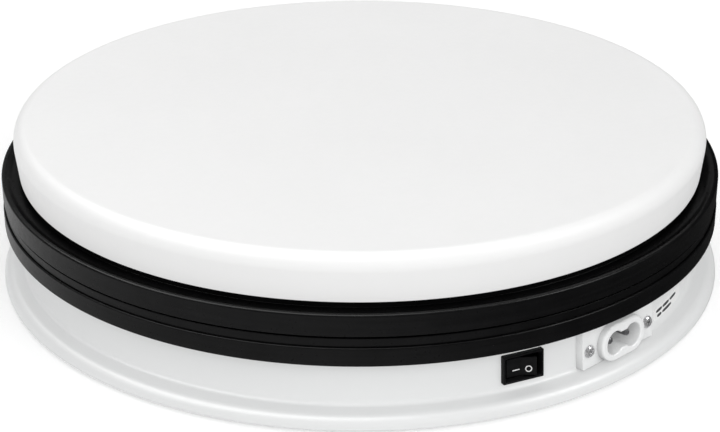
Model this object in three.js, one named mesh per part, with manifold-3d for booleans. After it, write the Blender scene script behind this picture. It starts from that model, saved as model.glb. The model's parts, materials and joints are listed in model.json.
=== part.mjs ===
// Motorised turntable display stand, in millimetres, +Z up.
// The origin is on the floor, under the middle of the stand; the switch and inlet face -Y, towards +X.
import * as THREE from 'three';
import { mergeVertices } from 'three/addons/utils/BufferGeometryUtils.js';
import Module from 'manifold-3d';

const wasm = await Module();
wasm.setup();

// ---- driving dimensions ----

const ROUND = 60; // chords in a large circle
const MEDIUM = 20; // chords in a hub-sized circle
const SMALL = 12; // chords in a small circle
const ARC_STEPS = 2; // chords in a fillet

const FOOT_HEIGHT = 1.5;
const TOP = 58.5; // height of the display surface
const GAP = 0.25; // clearance round a fitted piece

const DISC = { radius: 125.45, footRadius: 123.7, foot: 42.5, edge: 5, wall: 3 };
const PLATTER = { radius: 129.9, lip: 41.4, plateTop: 42.3, plateBottom: 38.9, skirtBottom: 33.85 };
const SKIRT_WALL = 2.8;
const HUB = { bore: 6.1, radius: 10.5, top: 50 };
const DECK = {
  radius: 130.1,
  skirtBottom: 23.5,
  step: 30.1,
  collar: 129.4,
  collarTop: 33.15,
  top: 33.2,
  bottom: 30.7,
  hubBottom: 24,
  hubTop: 35,
};
const DUST_LIP = { radius: 126, thickness: 1.6, top: 37.4 }; // stands inside the platter's skirt
const BASE = { radius: 131.8, foot: FOOT_HEIGHT, flangeTop: 5.75, flangeEdge: 3.9, top: 30.5, wall: 2.5 };
const WALL = { radius: 123.3, z: 5.9, slope: 0.0726 }; // outer wall of the base: radius at z, inward per mm up
const PLATE = { radius: 126, bottom: 1.6, top: 3.5, ledge: 3.7, shoulder: 3.4 };

const BOSS = { circle: 113, radius: 4.5, pilot: 1.3, pilotDepth: 10.5, rib: 3 };
const BOSS_AZIMUTHS = [-15, 75, 165, 255];
const FOOT = { circle: 112, radius: 7, stem: 2.4, barb: 3.2, barbHeight: 1.5 };
const FOOT_AZIMUTHS = [30, 120, 210, 300];
const DISC_SCREW_CIRCLE = 72;
const DISC_SCREW_AZIMUTHS = [0, 90, 180, 270];
const GEAR_SCREW_CIRCLE = 38.5;
const GEAR_SCREW_AZIMUTHS = [60, 180, 300];

const ROLLER = { circle: 100, radius: 5, width: 7, height: 33.78, axle: 1.5, axleLength: 13 };
const ROLLER_AZIMUTHS = [30, 120, 210, 300];
const POST = { thickness: 2.6, width: 6, top: 36.2, gap: 0.6 };

const GEAR = { module: 1.5, teeth: 60, bottom: 34.7, top: 38.8, bore: 33.5 };
const PINION = { teeth: 12, bottom: 34.4, top: 38.4 };
const BACKLASH = 0.3; // taken off each tooth at the pitch circle
const MOTOR = { distance: 54.15, radius: 24.5, bottom: 8, seam: 24, top: 30.4 };
const MOTOR_SHAFT = { radius: 3.5, bottom: 26.1, top: 38.6 };
const MOTOR_NOSE = { radius: 7.5, top: 33 };
const EAR = { reach: 30.5, radius: 5, thickness: 1.4, hole: 1.7 };

const SPINDLE = {
  stud: 3,
  shaft: 4,
  shoulder: 7,
  bottom: 19,
  shoulderBottom: 35.1,
  shoulderTop: 36.6,
  top: 52.6,
  chamfer: 0.5,
};
const CLIP = { z: 51.2, radius: 7, thickness: 0.8, groove: 1.0, grooveDepth: 0.8, mouth: 4 };
const NUT = { radius: 6, height: 4.5, z: 21.7 };
const THRUST_WASHER = { radius: 9, bottom: 36.7, top: 37.6 };
const HUB_WASHER = { radius: 8, thickness: 0.6 };
const SLIDE = 0.1; // clearance round a sliding or touching piece

const SWITCH = { azimuth: 24.75, z: 13.35, width: 14.7, height: 9.8, rise: 0.22, proud: 1.7 };
const ROCKER = { length: 10.4, width: 6.4, pivotDepth: -1.8, tilt: -12 };
const INLET = { azimuth: 43.0, z: 12.6, width: 35.5, below: 6.2, above: 9.8, proud: 1.8, back: -1.1 };
const COLLAR = { proud: 4.5, lobe: 4.1, wall: 2.4, waist: 5.8, outerWaist: 12.6 };
const PIN_PITCH = 8.6;
const INLET_SCREW_PITCH = 29.5;
const LABEL = { azimuth: 59.3, z: 10.1, width: 23, height: 4.6, thickness: 0.2 };

// ---- materials ----

function plastic(color, roughness) {
  return new THREE.MeshStandardMaterial({ color, roughness, metalness: 0 });
}

function metal(color, roughness) {
  return new THREE.MeshStandardMaterial({ color, roughness, metalness: 1 });
}

const whiteMatt = plastic(0xf1f1f0, 0.55);
const whiteGloss = plastic(0xe9ebea, 0.32);
const blackSatin = plastic(0x17181a, 0.38);
const blackSwitch = plastic(0x141416, 0.45);
const inletWhite = plastic(0xdfe1e1, 0.35);
const labelWhite = plastic(0xf4f4f2, 0.5);
const acetal = plastic(0xe6e2d6, 0.4);
const rubber = plastic(0x232323, 0.9);
const steel = metal(0xb9bcc0, 0.3);
const zincSteel = metal(0xa9adb3, 0.38);
const brass = metal(0xc9a24b, 0.35);
const bronze = metal(0xa9743a, 0.45);
const brownWire = plastic(0x6a3d1e, 0.5);
const blueWire = plastic(0x2c5fa8, 0.5);

// ---- geometry helpers ----

function signedVolume(geometry) {
  const position = geometry.attributes.position;
  const index = geometry.index;
  const a = new THREE.Vector3();
  const b = new THREE.Vector3();
  const c = new THREE.Vector3();
  let volume = 0;
  for (let i = 0; i < index.count; i += 3) {
    a.fromBufferAttribute(position, index.getX(i));
    b.fromBufferAttribute(position, index.getX(i + 1));
    c.fromBufferAttribute(position, index.getX(i + 2));
    volume += a.dot(b.cross(c)) / 6;
  }
  return volume;
}

// Shares vertices, drops triangles that collapse at a pole, and turns the faces outward.
function weld(source) {
  let geometry = source.clone();
  geometry.deleteAttribute('normal');
  geometry.deleteAttribute('uv');
  geometry = mergeVertices(geometry, 1e-3);
  const triangles = [];
  for (let i = 0; i < geometry.index.count; i += 3) {
    const [p, q, r] = [0, 1, 2].map((k) => geometry.index.getX(i + k));
    if (p !== q && q !== r && r !== p) {
      triangles.push([p, q, r]);
    }
  }
  geometry.setIndex(triangles.flat());
  if (signedVolume(geometry) < 0) {
    geometry.setIndex(triangles.map(([p, q, r]) => [p, r, q]).flat());
  }
  return geometry;
}

function toSolid(geometry) {
  const welded = weld(geometry);
  return new wasm.Manifold(
    new wasm.Mesh({
      numProp: 3,
      vertProperties: new Float32Array(welded.attributes.position.array),
      triVerts: new Uint32Array(welded.index.array),
    }),
  );
}

function toGeometry(solid) {
  const mesh = solid.getMesh();
  const geometry = new THREE.BufferGeometry();
  geometry.setAttribute('position', new THREE.BufferAttribute(mesh.vertProperties, 3));
  geometry.setIndex(new THREE.BufferAttribute(mesh.triVerts, 1));
  return geometry;
}

function join(...geometries) {
  return toGeometry(geometries.map(toSolid).reduce((sum, solid) => sum.add(solid)));
}

function cut(geometry, ...tools) {
  return toGeometry(tools.map(toSolid).reduce((rest, tool) => rest.subtract(tool), toSolid(geometry)));
}

// An outline through corners [x, y] or [x, y, fillet radius]; closed outlines end where they start.
function outline(corners, closed = true, steps = ARC_STEPS) {
  const points = [];
  corners.forEach(([x, y, fillet], i) => {
    const corner = new THREE.Vector2(x, y);
    if (!fillet) {
      points.push(corner);
      return;
    }
    const [px, py] = corners[(i + corners.length - 1) % corners.length];
    const [nx, ny] = corners[(i + 1) % corners.length];
    const back = new THREE.Vector2(px, py).sub(corner).normalize();
    const ahead = new THREE.Vector2(nx, ny).sub(corner).normalize();
    const half = Math.acos(back.dot(ahead)) / 2;
    const centre = corner.clone().add(back.clone().add(ahead).setLength(fillet / Math.sin(half)));
    const from = corner.clone().addScaledVector(back, fillet / Math.tan(half)).sub(centre);
    const to = corner.clone().addScaledVector(ahead, fillet / Math.tan(half)).sub(centre);
    const sweep = Math.atan2(from.cross(to), from.dot(to));
    for (let k = 0; k <= steps; k += 1) {
      points.push(from.clone().rotateAround(new THREE.Vector2(), (sweep * k) / steps).add(centre));
    }
  });
  if (closed) {
    points.push(points[0].clone());
  }
  return points;
}

// A piece turned about +Z from an outline of [radius, height].
function turned(points, segments = ROUND) {
  return weld(new THREE.LatheGeometry(points, segments).rotateX(Math.PI / 2));
}

// A round bar from one height to another, with an optional bore.
function round(radius, bottom, top, bore = 0, segments = SMALL) {
  const corners = bore
    ? [[bore, bottom], [radius, bottom], [radius, top], [bore, top]]
    : [[0, bottom], [radius, bottom], [radius, top], [0, top]];
  return turned(outline(corners, bore > 0), segments);
}

function block(width, depth, height, x = 0, y = 0, z = 0) {
  return new THREE.BoxGeometry(width, depth, height).translate(x, y, z);
}

function extruded(shape, depth, curveSegments = 6) {
  return weld(new THREE.ExtrudeGeometry(shape, { depth, bevelEnabled: false, curveSegments }));
}

// A rectangle in XY about (0, y) with rounded corners.
function roundedRectangle(width, height, radius, y = 0) {
  const w = width / 2;
  const h = height / 2;
  return new THREE.Shape(
    outline([[-w, y - h, radius], [w, y - h, radius], [w, y + h, radius], [-w, y + h, radius]]),
  );
}

// ---- placing ----

const radians = THREE.MathUtils.degToRad;

// Azimuth 0 faces -Y and grows towards +X.
function onCircle(radius, azimuth, z = 0) {
  const angle = radians(azimuth);
  return new THREE.Vector3(radius * Math.sin(angle), -radius * Math.cos(angle), z);
}

function around(geometry, radius, azimuth) {
  return geometry.clone().rotateZ(radians(azimuth)).translate(...onCircle(radius, azimuth).toArray());
}

function wallRadius(z) {
  return WALL.radius - (z - WALL.z) * WALL.slope;
}

// A frame on the base's wall: X along the wall, Y up it, Z straight out of it.
function wallFrame(azimuth, z) {
  const frame = new THREE.Group();
  frame.position.copy(onCircle(wallRadius(z), azimuth, z));
  frame.rotation.set(Math.PI / 2 - Math.atan(WALL.slope), 0, radians(azimuth), 'ZYX');
  frame.updateMatrix();
  return frame;
}

const stand = new THREE.Group();

function add(name, geometry, material, parent = stand) {
  const mesh = new THREE.Mesh(geometry, material);
  mesh.name = name;
  geometry.computeVertexNormals();
  parent.add(mesh);
  return mesh;
}

// ---- screws ----

// A pan-head screw pointing up, with its head's underside at z = 0.
function panScrew(shankRadius, length, headRadius, headHeight) {
  return turned(
    outline([
      [0, -headHeight],
      [headRadius * 0.7, -headHeight],
      [headRadius, -headHeight * 0.5],
      [headRadius, 0],
      [shankRadius, 0],
      [shankRadius, length - shankRadius],
      [0, length],
    ], false),
    SMALL,
  );
}

// A countersunk screw pointing up, with its flat head at z = 0.
function countersunkScrew(shankRadius, length, headRadius) {
  const headHeight = headRadius - shankRadius;
  return turned(
    outline([
      [0, 0],
      [headRadius, 0],
      [shankRadius, headHeight],
      [shankRadius, length - shankRadius],
      [0, length],
    ], false),
    SMALL,
  );
}

// ---- top disc and platter ----

const DISC_BOSS = { radius: 4.5, pilot: 1.3, depth: 9 };
const DISC_SCREW = { shank: 1.2, length: 10.5, head: 3, headHeight: 1.7 };

function topDisc() {
  const underside = TOP - DISC.wall;
  const shell = turned(
    outline([
      [0, TOP],
      [DISC.radius, TOP, DISC.edge],
      [DISC.footRadius, DISC.foot, 0.5],
      [DISC.footRadius - DISC.wall, DISC.foot],
      [DISC.radius - DISC.wall, underside],
      [0, underside],
    ], false),
  );
  const bosses = DISC_SCREW_AZIMUTHS.map((azimuth) =>
    around(round(DISC_BOSS.radius, DISC.foot, underside + 1), DISC_SCREW_CIRCLE, azimuth));
  const pilots = DISC_SCREW_AZIMUTHS.map((azimuth) =>
    around(
      round(DISC_BOSS.pilot, DISC.foot - 1, DISC.foot + DISC_BOSS.depth),
      DISC_SCREW_CIRCLE,
      azimuth,
    ));
  return cut(join(shell, ...bosses), ...pilots);
}

const RIM = { crest: 128.4, cove: 126.6, channel: 40.3, seat: 122.4 };
const THROUGH = { bottom: 30, top: PLATTER.plateTop + 1 }; // heights that a hole through the platter spans

function platter() {
  const body = turned(
    outline([
      [HUB.bore, PLATTER.plateBottom],
      [PLATTER.radius - SKIRT_WALL, PLATTER.plateBottom],
      [PLATTER.radius - SKIRT_WALL, PLATTER.skirtBottom],
      [PLATTER.radius, PLATTER.skirtBottom],
      [PLATTER.radius, PLATTER.lip, 0.8],
      [RIM.crest, PLATTER.lip],
      [RIM.cove, RIM.channel + 0.2],
      [RIM.seat, RIM.channel],
      [RIM.seat, PLATTER.plateTop],
      [HUB.radius, PLATTER.plateTop],
      [HUB.radius, HUB.top],
      [HUB.bore, HUB.top],
    ]),
  );
  const discHoles = DISC_SCREW_AZIMUTHS.map((azimuth) =>
    around(round(DISC_SCREW.shank + 0.4, THROUGH.bottom, THROUGH.top), DISC_SCREW_CIRCLE, azimuth));
  const gearHoles = GEAR_SCREW_AZIMUTHS.map((azimuth) =>
    around(round(BOSS.pilot, THROUGH.bottom, THROUGH.top), GEAR_SCREW_CIRCLE, azimuth));
  return cut(body, ...discHoles, ...gearHoles);
}

// ---- gears ----

const PRESSURE_ANGLE = radians(20);
const ADDENDUM = 0.95; // in modules
const DEDENDUM = 1.25;

function involute(angle) {
  return Math.tan(angle) - angle;
}

// Radius and half tooth angle of each point up one flank, from the root to the tip.
function flank(teeth, module) {
  const pitch = (teeth * module) / 2;
  const base = pitch * Math.cos(PRESSURE_ANGLE);
  const halfTooth = Math.PI / (2 * teeth) - BACKLASH / (2 * pitch);
  const root = pitch - DEDENDUM * module;
  const tip = pitch + ADDENDUM * module;
  return [root, pitch, tip].map((radius) => {
    const pressure = Math.acos(Math.min(1, base / radius));
    return { radius, angle: halfTooth + involute(PRESSURE_ANGLE) - involute(pressure) };
  });
}

// A spur gear with a tooth centred on +X.
function gear(teeth, bore, thickness) {
  const side = flank(teeth, GEAR.module);
  const shape = new THREE.Shape();
  for (let tooth = 0; tooth < teeth; tooth += 1) {
    const centre = (2 * Math.PI * tooth) / teeth;
    const rising = side.map(({ radius, angle }) => [radius, centre - angle]);
    const falling = [...side].reverse().map(({ radius, angle }) => [radius, centre + angle]);
    [...rising, ...falling].forEach(([radius, angle], i) => {
      const method = tooth + i === 0 ? 'moveTo' : 'lineTo';
      shape[method](radius * Math.cos(angle), radius * Math.sin(angle));
    });
  }
  shape.closePath();
  shape.holes.push(new THREE.Path().absarc(0, 0, bore, 0, 2 * Math.PI, true));
  return extruded(shape, thickness, 9);
}

const GEAR_SCREW = { shank: 1.2, head: 2.6, length: 7 };

// The gear's tooth at +Y meets the pinion.
function drivenGear() {
  const blank = gear(GEAR.teeth, GEAR.bore, GEAR.top - GEAR.bottom)
    .rotateZ(Math.PI / 2)
    .translate(0, 0, GEAR.bottom);
  const shankHole = round(GEAR_SCREW.shank + 0.3, GEAR.bottom - 1, GEAR.top + 1);
  const sink = countersunkScrew(GEAR_SCREW.shank + 0.3, GEAR_SCREW.length, GEAR_SCREW.head + 0.3)
    .translate(0, 0, GEAR.bottom - 0.01);
  const holes = GEAR_SCREW_AZIMUTHS.flatMap((azimuth) => [
    around(shankHole, GEAR_SCREW_CIRCLE, azimuth),
    around(sink, GEAR_SCREW_CIRCLE, azimuth),
  ]);
  return cut(blank, ...holes);
}

// The pinion turns on the D-shaped shaft, with a gap between two teeth towards the driven gear.
function drivePinion() {
  const halfPitch = Math.PI / PINION.teeth;
  const teeth = gear(PINION.teeth, MOTOR_SHAFT.radius - 1, PINION.top - PINION.bottom)
    .rotateZ(-Math.PI / 2 + halfPitch)
    .translate(0, 0, PINION.bottom);
  return cut(teeth, shaftBar(MOTOR_SHAFT.radius + SLIDE, PINION.bottom - 1, PINION.top + 1));
}

// A round bar with one flat, about its own axis.
function shaftBar(radius, bottom, top) {
  const flatCentre = radius * 1.35;
  const flat = block(radius * 2, radius, top - bottom + 2, 0, flatCentre, (bottom + top) / 2);
  return cut(round(radius, bottom, top), flat);
}

// ---- spindle and hub ----

function spindle() {
  const { stud, shaft, shoulder, bottom, shoulderBottom, shoulderTop, top, chamfer } = SPINDLE;
  const groove = shaft - CLIP.grooveDepth;
  return turned(
    outline([
      [0, bottom],
      [stud, bottom],
      [stud, shoulderBottom],
      [shoulder, shoulderBottom],
      [shoulder, shoulderTop],
      [shaft, shoulderTop],
      [shaft, CLIP.z - CLIP.groove / 2],
      [groove, CLIP.z - CLIP.groove / 2],
      [groove, CLIP.z + CLIP.groove / 2],
      [shaft, CLIP.z + CLIP.groove / 2],
      [shaft, top - chamfer],
      [shaft - chamfer, top],
      [0, top],
    ], false),
    MEDIUM,
  );
}

// A flanged bush, pressed into the platter's hub.
function hubBush() {
  const bore = SPINDLE.shaft + SLIDE;
  const sleeve = HUB.bore - SLIDE;
  const flangeTop = PLATTER.plateBottom - SLIDE;
  const flangeBottom = THRUST_WASHER.top + SLIDE;
  return turned(
    outline([
      [bore, flangeBottom],
      [THRUST_WASHER.radius, flangeBottom],
      [THRUST_WASHER.radius, flangeTop],
      [sleeve, flangeTop],
      [sleeve, HUB.top],
      [bore, HUB.top],
    ]),
    MEDIUM,
  );
}

// A ring round the spindle's shaft.
function washer(radius, bottom, top) {
  return round(radius, bottom, top, SPINDLE.shaft + SLIDE, MEDIUM);
}

// An open ring that snaps into the spindle's groove.
function retainingClip() {
  const bore = SPINDLE.shaft - CLIP.grooveDepth + SLIDE;
  const half = CLIP.thickness / 2;
  const ring = round(CLIP.radius, CLIP.z - half, CLIP.z + half, bore, MEDIUM);
  const mouth = block(CLIP.mouth, CLIP.radius, CLIP.thickness * 2, 0, -CLIP.radius, CLIP.z);
  return cut(ring, mouth);
}

function spindleNut() {
  const hexagon = new THREE.CylinderGeometry(NUT.radius, NUT.radius, NUT.height, 6)
    .rotateX(Math.PI / 2)
    .translate(0, 0, NUT.z);
  const thread = round(SPINDLE.stud + SLIDE, NUT.z - NUT.height, NUT.z + NUT.height, 0, MEDIUM);
  return cut(hexagon, thread);
}

// ---- deck ----

const DECK_SCREW = { shank: 1.2, length: 10, head: 3, headHeight: 1.9 };

// A frame on a roller's axle: Z points straight out along it.
function rollerFrame(azimuth) {
  const frame = new THREE.Group();
  frame.position.copy(onCircle(ROLLER.circle, azimuth, ROLLER.height));
  frame.rotation.set(Math.PI / 2, 0, radians(azimuth), 'ZYX');
  frame.updateMatrix();
  return frame;
}

function rollerPosts(azimuth) {
  const offset = ROLLER.width / 2 + POST.gap + POST.thickness / 2;
  const height = POST.top - DECK.top + 1;
  return [-offset, offset].map((y) =>
    around(block(POST.width, POST.thickness, height, 0, y, POST.top - height / 2), ROLLER.circle, azimuth));
}

function rollerAxle(clearance = 0) {
  const halfLength = ROLLER.axleLength / 2 + clearance;
  return round(ROLLER.axle + clearance, -halfLength, halfLength);
}

function deck() {
  const lipInner = DUST_LIP.radius - DUST_LIP.thickness;
  const body = turned(
    outline([
      [SPINDLE.stud + SLIDE, DECK.hubBottom],
      [HUB.radius, DECK.hubBottom],
      [HUB.radius, DECK.bottom],
      [DECK.radius - SKIRT_WALL, DECK.bottom],
      [DECK.radius - SKIRT_WALL, DECK.skirtBottom],
      [DECK.radius, DECK.skirtBottom],
      [DECK.radius, DECK.step - 0.3],
      [DECK.collar, DECK.step],
      [DECK.collar, DECK.collarTop],
      [DUST_LIP.radius, DECK.collarTop],
      [DUST_LIP.radius, DUST_LIP.top],
      [lipInner, DUST_LIP.top],
      [lipInner, DECK.top],
      [HUB.radius, DECK.top],
      [HUB.radius, DECK.hubTop],
      [SPINDLE.stud + SLIDE, DECK.hubTop],
    ]),
  );
  const posts = ROLLER_AZIMUTHS.flatMap(rollerPosts);
  const pocket = block(2 * ROLLER.radius + 1, ROLLER.width + 1, ROLLER.width, 0, 0, DECK.top);
  const pockets = ROLLER_AZIMUTHS.map((azimuth) => around(pocket, ROLLER.circle, azimuth));
  const axleHoles = ROLLER_AZIMUTHS.map((azimuth) =>
    rollerAxle(SLIDE).applyMatrix4(rollerFrame(azimuth).matrix));
  const throughDeck = (radius) => round(radius, DECK.bottom - 1, DECK.top + 1);
  const screwHoles = BOSS_AZIMUTHS.map((azimuth) =>
    around(throughDeck(DECK_SCREW.shank + 0.4), BOSS.circle, azimuth));
  const motorHole = throughDeck(MOTOR_NOSE.radius + 0.7).translate(0, MOTOR.distance, 0);
  const earHoles = [-1, 1].map((side) =>
    throughDeck(MOTOR_SCREW.shank + SLIDE).translate(side * EAR.reach, MOTOR.distance, 0));
  return cut(join(body, ...posts), ...pockets, ...axleHoles, ...screwHoles, motorHole, ...earHoles);
}

function roller() {
  return round(ROLLER.radius, -ROLLER.width / 2, ROLLER.width / 2, ROLLER.axle + SLIDE, MEDIUM);
}

// ---- base shell, bottom plate and feet ----

const INLET_HOLE = { width: 23, height: 13, depth: 20 }; // behind the flange
const SWITCH_HOLE = { width: 13.4, height: 9.2, depth: 20 };

// Material taken out of the wall for the inlet's flange, and for its body behind the flange.
function inletOpening() {
  const { width, below, above, back } = INLET;
  const { depth } = INLET_HOLE;
  const recess = block(
    width + 2 * GAP,
    below + above + 2 * GAP,
    depth,
    0,
    (above - below) / 2,
    back - GAP + depth / 2,
  );
  const through = block(INLET_HOLE.width, INLET_HOLE.height, 2 * depth);
  const screwHoles = [-1, 1].map((side) =>
    round(INLET_SCREW.shank + SLIDE, -depth / 2, 0).translate((side * INLET_SCREW_PITCH) / 2, 0, 0));
  return join(recess, through, ...screwHoles).applyMatrix4(wallFrame(INLET.azimuth, INLET.z).matrix);
}

function switchOpening() {
  return block(SWITCH_HOLE.width, SWITCH_HOLE.height, SWITCH_HOLE.depth)
    .applyMatrix4(wallFrame(SWITCH.azimuth, SWITCH.z).matrix);
}

// A screw boss for the deck above and the bottom plate below, with a rib back to the wall.
function baseBoss() {
  const ribTop = BASE.top - 1;
  const ribLength = 6;
  const rib = block(BOSS.rib, ribLength, ribTop - PLATE.ledge, 0, -4.8, (ribTop + PLATE.ledge) / 2);
  return join(round(BOSS.radius, PLATE.ledge, BASE.top), rib);
}

function baseShell() {
  const body = turned(
    outline([
      [PLATE.radius + GAP, BASE.foot],
      [BASE.radius, BASE.foot, 0.3],
      [BASE.radius, BASE.flangeTop, BASE.flangeEdge],
      [WALL.radius, WALL.z],
      [wallRadius(BASE.top), BASE.top],
      [wallRadius(BASE.top) - BASE.wall, BASE.top],
      [wallRadius(PLATE.ledge) - PLATE.shoulder, PLATE.ledge],
      [PLATE.radius + GAP, PLATE.ledge],
    ], true, 4),
  );
  const pilotBottom = round(BOSS.pilot, PLATE.ledge - 1, PLATE.ledge + BOSS.pilotDepth);
  const pilotTop = round(BOSS.pilot, BASE.top - BOSS.pilotDepth, BASE.top + 1);
  const bosses = BOSS_AZIMUTHS.map((azimuth) => around(baseBoss(), BOSS.circle, azimuth));
  const pilots = BOSS_AZIMUTHS.flatMap((azimuth) =>
    [pilotBottom, pilotTop].map((pilot) => around(pilot, BOSS.circle, azimuth)));
  return cut(join(body, ...bosses), ...pilots, inletOpening(), switchOpening());
}

const PLATE_SCREW = { shank: 1.2, length: 10, head: 3 };
const VENT = { count: 7, pitch: 6, width: 2.2, length: 34 };

function bottomPlate() {
  const body = turned(
    outline([
      [0, PLATE.bottom],
      [PLATE.radius, PLATE.bottom, 0.4],
      [PLATE.radius, PLATE.top],
      [0, PLATE.top],
    ], false, 1),
  );
  const sink = countersunkScrew(PLATE_SCREW.shank + 0.3, PLATE_SCREW.length, PLATE_SCREW.head + 0.3)
    .translate(0, 0, PLATE.bottom - 0.01);
  const screwHoles = BOSS_AZIMUTHS.map((azimuth) => around(sink, BOSS.circle, azimuth));
  const footHoles = FOOT_AZIMUTHS.map((azimuth) =>
    around(round(FOOT.stem + 0.2, PLATE.bottom - 1, PLATE.top + 1), FOOT.circle, azimuth));
  const vents = Array.from({ length: VENT.count }, (_, i) => {
    const x = (i - (VENT.count - 1) / 2) * VENT.pitch;
    return block(VENT.width, VENT.length, 10, x, MOTOR.distance, PLATE.top);
  });
  return cut(body, ...screwHoles, ...footHoles, ...vents);
}

function rubberFoot() {
  return turned(
    outline([
      [0, 0],
      [FOOT.radius, 0, 0.5],
      [FOOT.radius, FOOT_HEIGHT],
      [FOOT.stem, FOOT_HEIGHT],
      [FOOT.stem, PLATE.top + SLIDE],
      [FOOT.barb, PLATE.top + SLIDE],
      [FOOT.stem * 0.6, PLATE.top + FOOT.barbHeight],
      [0, PLATE.top + FOOT.barbHeight],
    ], false, 1),
    MEDIUM,
  );
}

// ---- rocker switch, in its wall frame ----

const SWITCH_POCKET = { length: 11.9, width: 6.8, floor: -4.9 };
const SWITCH_BODY = { length: 13, height: 9, back: -12 };
const SWITCH_TERMINAL = { width: 4.8, thickness: 0.8, depth: 9, back: -19, x: 3.6 };

function switchTerminal(side, clearance = 0) {
  const { width, thickness, depth, back, x } = SWITCH_TERMINAL;
  return block(
    thickness + 2 * clearance,
    width + 2 * clearance,
    depth + 2 * clearance,
    side * x,
    0,
    back + depth / 2,
  );
}

function switchHousing() {
  const bezelBack = 0.3; // clears the curve of the wall
  const bodyFront = 0.5;
  const bezelOutline = roundedRectangle(SWITCH.width, SWITCH.height, 0.3, SWITCH.rise);
  const bezel = extruded(bezelOutline, SWITCH.proud - bezelBack).translate(0, 0, bezelBack);
  const body = block(SWITCH_BODY.length, SWITCH_BODY.height, bodyFront - SWITCH_BODY.back,
    0, 0, (bodyFront + SWITCH_BODY.back) / 2);
  const pocketDepth = SWITCH.proud + 1 - SWITCH_POCKET.floor;
  const pocket = block(SWITCH_POCKET.length, SWITCH_POCKET.width, pocketDepth,
    0, 0, SWITCH_POCKET.floor + pocketDepth / 2);
  const slots = [-1, 1].map((side) => switchTerminal(side, SLIDE));
  return cut(join(bezel, body), pocket, ...slots);
}

// The rocker's side view, about its pivot: a shallow V on a body that narrows below.
const ROCKER_VIEW = { valley: 2.1, end: 3.2, shoulder: 1.4, heel: -1.3, heelHalf: 2.4 };

function switchRocker() {
  const half = ROCKER.length / 2;
  const { valley, end, shoulder, heel, heelHalf } = ROCKER_VIEW;
  const shape = new THREE.Shape(
    outline([
      [-half, end, 0.3],
      [-half, shoulder],
      [-heelHalf, heel],
      [heelHalf, heel],
      [half, shoulder],
      [half, end, 0.3],
      [0, valley],
    ]),
  );
  return extruded(shape, ROCKER.width)
    .rotateX(Math.PI / 2)
    .translate(0, ROCKER.width / 2, 0);
}

// ---- mains inlet, in its wall frame ----

// Two round lobes joined by a waist.
function figureEight(lobe, waist, bottom, top) {
  const lobes = [-1, 1].map((side) =>
    round(lobe, bottom, top, 0, MEDIUM).translate((side * PIN_PITCH) / 2, 0, 0));
  return join(...lobes, block(PIN_PITCH, waist, top - bottom, 0, 0, (bottom + top) / 2));
}

const INLET_PIN = { radius: 1.2, front: 2.6, back: -19, point: 0.6 };
const INLET_BODY = { width: 22, height: 12, back: -15, cavityFloor: -9 };
const INLET_SCREW = { shank: 1.1, length: 7, head: 2.1, headHeight: 1.1 };

function inletPin(clearance = 0) {
  const { radius, front, back, point } = INLET_PIN;
  return turned(
    outline([
      [0, back - clearance],
      [radius + clearance, back - clearance],
      [radius + clearance, front - point + clearance],
      [point + clearance, front + clearance],
      [0, front + clearance],
    ], false),
    SMALL,
  );
}

function inletHousing() {
  const { width, below, above, proud, back } = INLET;
  const flange = extruded(
    roundedRectangle(width, below + above, 0.8, (above - below) / 2),
    proud - back,
  ).translate(0, 0, back);
  const collar = figureEight(COLLAR.lobe + COLLAR.wall, COLLAR.outerWaist, 0, COLLAR.proud);
  const rear = block(INLET_BODY.width, INLET_BODY.height, -INLET_BODY.back,
    0, 0, INLET_BODY.back / 2);
  const cavity = figureEight(COLLAR.lobe, COLLAR.waist, INLET_BODY.cavityFloor, COLLAR.proud + 1);
  const pins = [-1, 1].map((side) => inletPin(SLIDE).translate((side * PIN_PITCH) / 2, 0, 0));
  const screwHole = round(INLET_SCREW.shank + 0.2, back - 1, proud + 1);
  const screwHoles = [-1, 1].map((side) =>
    screwHole.clone().translate((side * INLET_SCREW_PITCH) / 2, 0, 0));
  return cut(join(flange, collar, rear), cavity, ...pins, ...screwHoles);
}

// A thin patch that follows the wall's curve, in its wall frame.
function ratingLabel() {
  const inner = wallRadius(LABEL.z) + SLIDE;
  const outer = inner + LABEL.thickness;
  const half = LABEL.width / 2 / inner;
  const shape = new THREE.Shape();
  shape.absarc(0, 0, outer, Math.PI / 2 - half, Math.PI / 2 + half, false);
  shape.absarc(0, 0, inner, Math.PI / 2 + half, Math.PI / 2 - half, true);
  return extruded(shape, LABEL.height, SMALL)
    .translate(0, -wallRadius(LABEL.z), -LABEL.height / 2)
    .rotateX(Math.PI / 2);
}

// ---- motor ----

const MOTOR_ROUND = 36; // chords in the motor's outline
const MOTOR_SCREW = { shank: 1.2, length: 3.8, head: 2.8, headHeight: 1.8 };

function motorCan() {
  return turned(
    outline([
      [0, MOTOR.bottom],
      [MOTOR.radius, MOTOR.bottom, 1.5],
      [MOTOR.radius, MOTOR.seam - SLIDE],
      [0, MOTOR.seam - SLIDE],
    ], false),
    MOTOR_ROUND,
  );
}

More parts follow.
